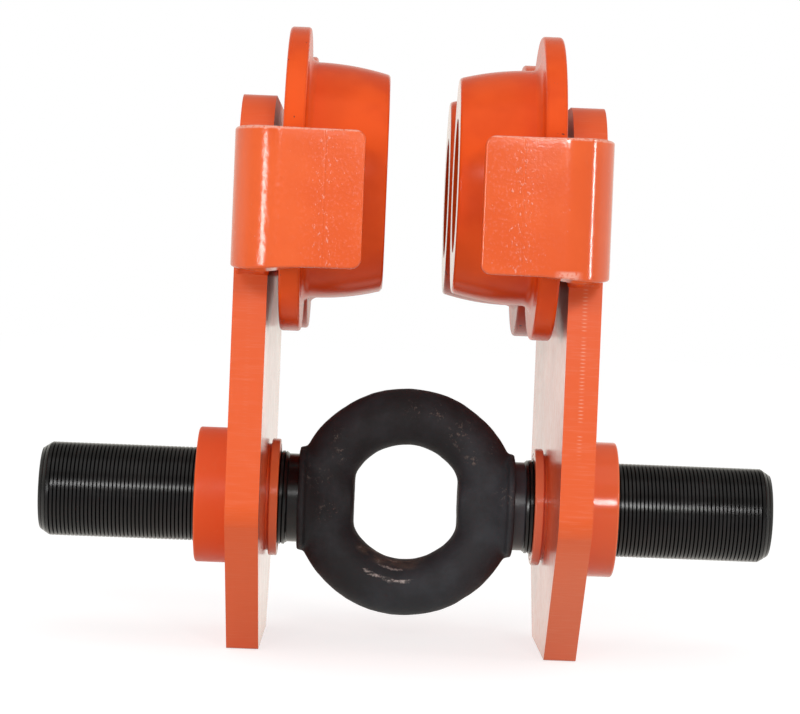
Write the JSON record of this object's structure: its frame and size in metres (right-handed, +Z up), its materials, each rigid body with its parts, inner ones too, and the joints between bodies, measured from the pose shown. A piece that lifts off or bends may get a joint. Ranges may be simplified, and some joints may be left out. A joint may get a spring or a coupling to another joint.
{
  "type": "manual beam trolley",
  "caption": "Push trolley for a beam flange: side plates with flanged wheels, bent bumpers, and a threaded spindle with a lifting eye that sets the width.",
  "frame": {"origin": "middle of the lifting eye, on the spindle's axis", "axes": "+X along the spindle to the right, +Y along the beam away from the picture's viewer, +Z up"},
  "size_m": [0.28, 0.255, 0.2295],
  "materials": {
    "orange_paint": "gloss enamel with light orange peel",
    "black_forging": "black oxide on a rough forging, threads satin",
    "bright_steel": "turned and ground steel",
    "spring_steel": "phosphated spring steel",
    "seal_rubber": "matt moulded rubber"
  },
  "bodies": {
    "spindle": {"load_spindle": "black_forging"},
    "left_side": {"left_plate": "orange_paint", "left_nut": "orange_paint", "left_retaining_ring": "orange_paint", "left_nut_tacks": "orange_paint", "front_left_bumper": "orange_paint", "front_left_weld": "orange_paint", "front_left_axle": "bright_steel", "front_left_bearing_inner_ring": "bright_steel", "front_left_axle_circlip": "spring_steel", "rear_left_bumper": "orange_paint", "rear_left_weld": "orange_paint", "rear_left_axle": "bright_steel", "rear_left_bearing_inner_ring": "bright_steel", "rear_left_axle_circlip": "spring_steel"},
    "right_side": {"right_plate": "orange_paint", "right_nut": "orange_paint", "right_retaining_ring": "orange_paint", "right_nut_tacks": "orange_paint", "front_right_bumper": "orange_paint", "front_right_weld": "orange_paint", "front_right_axle": "bright_steel", "front_right_bearing_inner_ring": "bright_steel", "front_right_axle_circlip": "spring_steel", "rear_right_bumper": "orange_paint", "rear_right_weld": "orange_paint", "rear_right_axle": "bright_steel", "rear_right_bearing_inner_ring": "bright_steel", "rear_right_axle_circlip": "spring_steel"},
    "front_left_wheel_body": {"front_left_wheel": "orange_paint", "front_left_bearing_outer_ring": "bright_steel", "front_left_bearing_seals": "seal_rubber", "front_left_hub_circlip": "spring_steel"},
    "front_left_ball_set": {"front_left_bearing_balls": "bright_steel", "front_left_bearing_cage": "bright_steel"},
    "front_right_wheel_body": {"front_right_wheel": "orange_paint", "front_right_bearing_outer_ring": "bright_steel", "front_right_bearing_seals": "seal_rubber", "front_right_hub_circlip": "spring_steel"},
    "front_right_ball_set": {"front_right_bearing_balls": "bright_steel", "front_right_bearing_cage": "bright_steel"},
    "rear_left_wheel_body": {"rear_left_wheel": "orange_paint", "rear_left_bearing_outer_ring": "bright_steel", "rear_left_bearing_seals": "seal_rubber", "rear_left_hub_circlip": "spring_steel"},
    "rear_left_ball_set": {"rear_left_bearing_balls": "bright_steel", "rear_left_bearing_cage": "bright_steel"},
    "rear_right_wheel_body": {"rear_right_wheel": "orange_paint", "rear_right_bearing_outer_ring": "bright_steel", "rear_right_bearing_seals": "seal_rubber", "rear_right_hub_circlip": "spring_steel"},
    "rear_right_ball_set": {"rear_right_bearing_balls": "bright_steel", "rear_right_bearing_cage": "bright_steel"}
  },
  "joints": [
    {"name": "left_side_slide", "type": "slide", "parent": "spindle", "child": "left_side", "axis": [-1, 0, 0], "range_m": [-0.006, 0.056]},
    {"name": "right_side_slide", "type": "slide", "parent": "spindle", "child": "right_side", "axis": [1, 0, 0], "range_m": [-0.006, 0.056]},
    {"name": "front_left_wheel_spin", "type": "hinge", "parent": "left_side", "child": "front_left_wheel_body", "pos_m": [-0.029, -0.0585, 0.12], "axis": [1, 0, 0], "continuous": true},
    {"name": "front_left_ball_spin", "type": "hinge", "parent": "left_side", "child": "front_left_ball_set", "pos_m": [-0.029, -0.0585, 0.12], "axis": [1, 0, 0], "continuous": true},
    {"name": "front_right_wheel_spin", "type": "hinge", "parent": "right_side", "child": "front_right_wheel_body", "pos_m": [0.029, -0.0585, 0.12], "axis": [1, 0, 0], "continuous": true},
    {"name": "front_right_ball_spin", "type": "hinge", "parent": "right_side", "child": "front_right_ball_set", "pos_m": [0.029, -0.0585, 0.12], "axis": [1, 0, 0], "continuous": true},
    {"name": "rear_left_wheel_spin", "type": "hinge", "parent": "left_side", "child": "rear_left_wheel_body", "pos_m": [-0.029, 0.0585, 0.12], "axis": [1, 0, 0], "continuous": true},
    {"name": "rear_left_ball_spin", "type": "hinge", "parent": "left_side", "child": "rear_left_ball_set", "pos_m": [-0.029, 0.0585, 0.12], "axis": [1, 0, 0], "continuous": true},
    {"name": "rear_right_wheel_spin", "type": "hinge", "parent": "right_side", "child": "rear_right_wheel_body", "pos_m": [0.029, 0.0585, 0.12], "axis": [1, 0, 0], "continuous": true},
    {"name": "rear_right_ball_spin", "type": "hinge", "parent": "right_side", "child": "rear_right_ball_set", "pos_m": [0.029, 0.0585, 0.12], "axis": [1, 0, 0], "continuous": true}
  ],
  "couplings": [
    {"joint": "right_side_slide", "follows": "left_side_slide", "ratio": 1},
    {"joint": "front_left_ball_spin", "follows": "front_left_wheel_spin", "ratio": 0.61848},
    {"joint": "front_right_ball_spin", "follows": "front_right_wheel_spin", "ratio": 0.61848},
    {"joint": "rear_left_ball_spin", "follows": "rear_left_wheel_spin", "ratio": 0.61848},
    {"joint": "rear_right_ball_spin", "follows": "rear_right_wheel_spin", "ratio": 0.61848}
  ]
}
